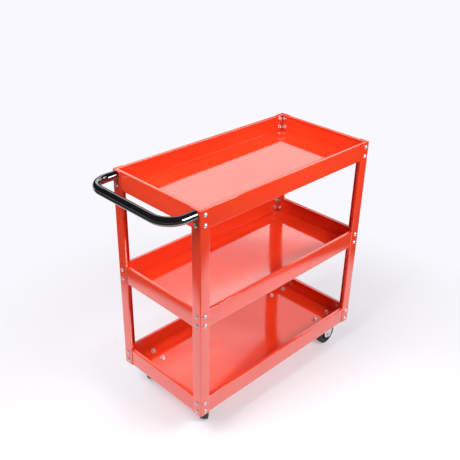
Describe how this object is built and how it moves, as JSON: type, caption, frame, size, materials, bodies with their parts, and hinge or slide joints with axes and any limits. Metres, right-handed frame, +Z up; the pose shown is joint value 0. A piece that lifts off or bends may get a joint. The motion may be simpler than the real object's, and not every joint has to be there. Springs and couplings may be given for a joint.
{
  "type": "tool cart",
  "caption": "Steel service cart with open trays bolted between lipped corner posts, a tube handle at one end, swivelling casters under it and rigid ones opposite",
  "frame": {"origin": "on the floor, under the middle of the cart's overall box", "axes": "+Z up; +X along the cart away from the handle end, the handle bar at -X; +Y to the left of somebody who pushes it by the handle"},
  "size_m": [0.8016, 0.3634, 0.759],
  "materials": {
    "red_paint": "glossy red powder coat, light orange peel",
    "black_paint": "glossy black paint",
    "zinc": "bright zinc plating",
    "rubber": "matt black rubber",
    "hub_plastic": "satin black plastic"
  },
  "bodies": {
    "frame": {"tray_top": "red_paint", "tray_middle": "red_paint", "tray_bottom": "red_paint", "post_handle_left": "red_paint", "post_handle_right": "red_paint", "post_front_left": "red_paint", "post_front_right": "red_paint", "handle_tube": "black_paint", "handle_plug_left": "zinc", "handle_screw_left": "zinc", "handle_plug_right": "zinc", "handle_screw_right": "zinc", "screw_top_handle_left": "zinc", "screw_top_handle_right": "zinc", "screw_top_front_left": "zinc", "screw_top_front_right": "zinc", "screw_middle_handle_left": "zinc", "screw_middle_handle_right": "zinc", "screw_middle_front_left": "zinc", "screw_middle_front_right": "zinc", "screw_bottom_handle_left": "zinc", "screw_bottom_handle_right": "zinc", "screw_bottom_front_left": "zinc", "screw_bottom_front_right": "zinc", "caster_screw_handle_left": "zinc", "caster_screw_handle_right": "zinc", "caster_screw_front_left": "zinc", "caster_screw_front_right": "zinc", "swivel_plate_handle_left": "zinc", "kingpin_handle_left": "zinc", "swivel_plate_handle_right": "zinc", "kingpin_handle_right": "zinc", "rigid_bracket_front_left": "zinc", "axle_bolt_front_left": "zinc", "axle_nut_front_left": "zinc", "axle_bush_front_left": "zinc", "rigid_bracket_front_right": "zinc", "axle_bolt_front_right": "zinc", "axle_nut_front_right": "zinc", "axle_bush_front_right": "zinc"},
    "swivel_left": {"ball_race_handle_left": "zinc", "swivel_cup_handle_left": "zinc", "swivel_fork_handle_left": "zinc", "axle_bush_handle_left": "zinc", "axle_bolt_handle_left": "zinc", "axle_nut_handle_left": "zinc"},
    "swivel_wheel_left": {"wheel_core_handle_left": "hub_plastic", "tyre_handle_left": "rubber"},
    "swivel_right": {"ball_race_handle_right": "zinc", "swivel_cup_handle_right": "zinc", "swivel_fork_handle_right": "zinc", "axle_bush_handle_right": "zinc", "axle_bolt_handle_right": "zinc", "axle_nut_handle_right": "zinc"},
    "swivel_wheel_right": {"wheel_core_handle_right": "hub_plastic", "tyre_handle_right": "rubber"},
    "rigid_wheel_left": {"wheel_core_front_left": "hub_plastic", "tyre_front_left": "rubber"},
    "rigid_wheel_right": {"wheel_core_front_right": "hub_plastic", "tyre_front_right": "rubber"}
  },
  "joints": [
    {"name": "swivel_turn_left", "type": "hinge", "parent": "frame", "child": "swivel_left", "pos_m": [-0.24115, 0.1265, 0.094], "axis": [0, 0, 1], "continuous": true},
    {"name": "swivel_wheel_spin_left", "type": "hinge", "parent": "swivel_left", "child": "swivel_wheel_left", "pos_m": [-0.21886, 0.14657, 0.0375], "axis": [-0.6691, 0.7431, 0], "continuous": true},
    {"name": "swivel_turn_right", "type": "hinge", "parent": "frame", "child": "swivel_right", "pos_m": [-0.24115, -0.1265, 0.094], "axis": [0, 0, 1], "continuous": true},
    {"name": "swivel_wheel_spin_right", "type": "hinge", "parent": "swivel_right", "child": "swivel_wheel_right", "pos_m": [-0.21886, -0.10643, 0.0375], "axis": [-0.6691, 0.7431, 0], "continuous": true},
    {"name": "rigid_wheel_spin_left", "type": "hinge", "parent": "frame", "child": "rigid_wheel_left", "pos_m": [0.34285, 0.1265, 0.0375], "axis": [0, 1, 0], "continuous": true},
    {"name": "rigid_wheel_spin_right", "type": "hinge", "parent": "frame", "child": "rigid_wheel_right", "pos_m": [0.34285, -0.1265, 0.0375], "axis": [0, 1, 0], "continuous": true}
  ]
}
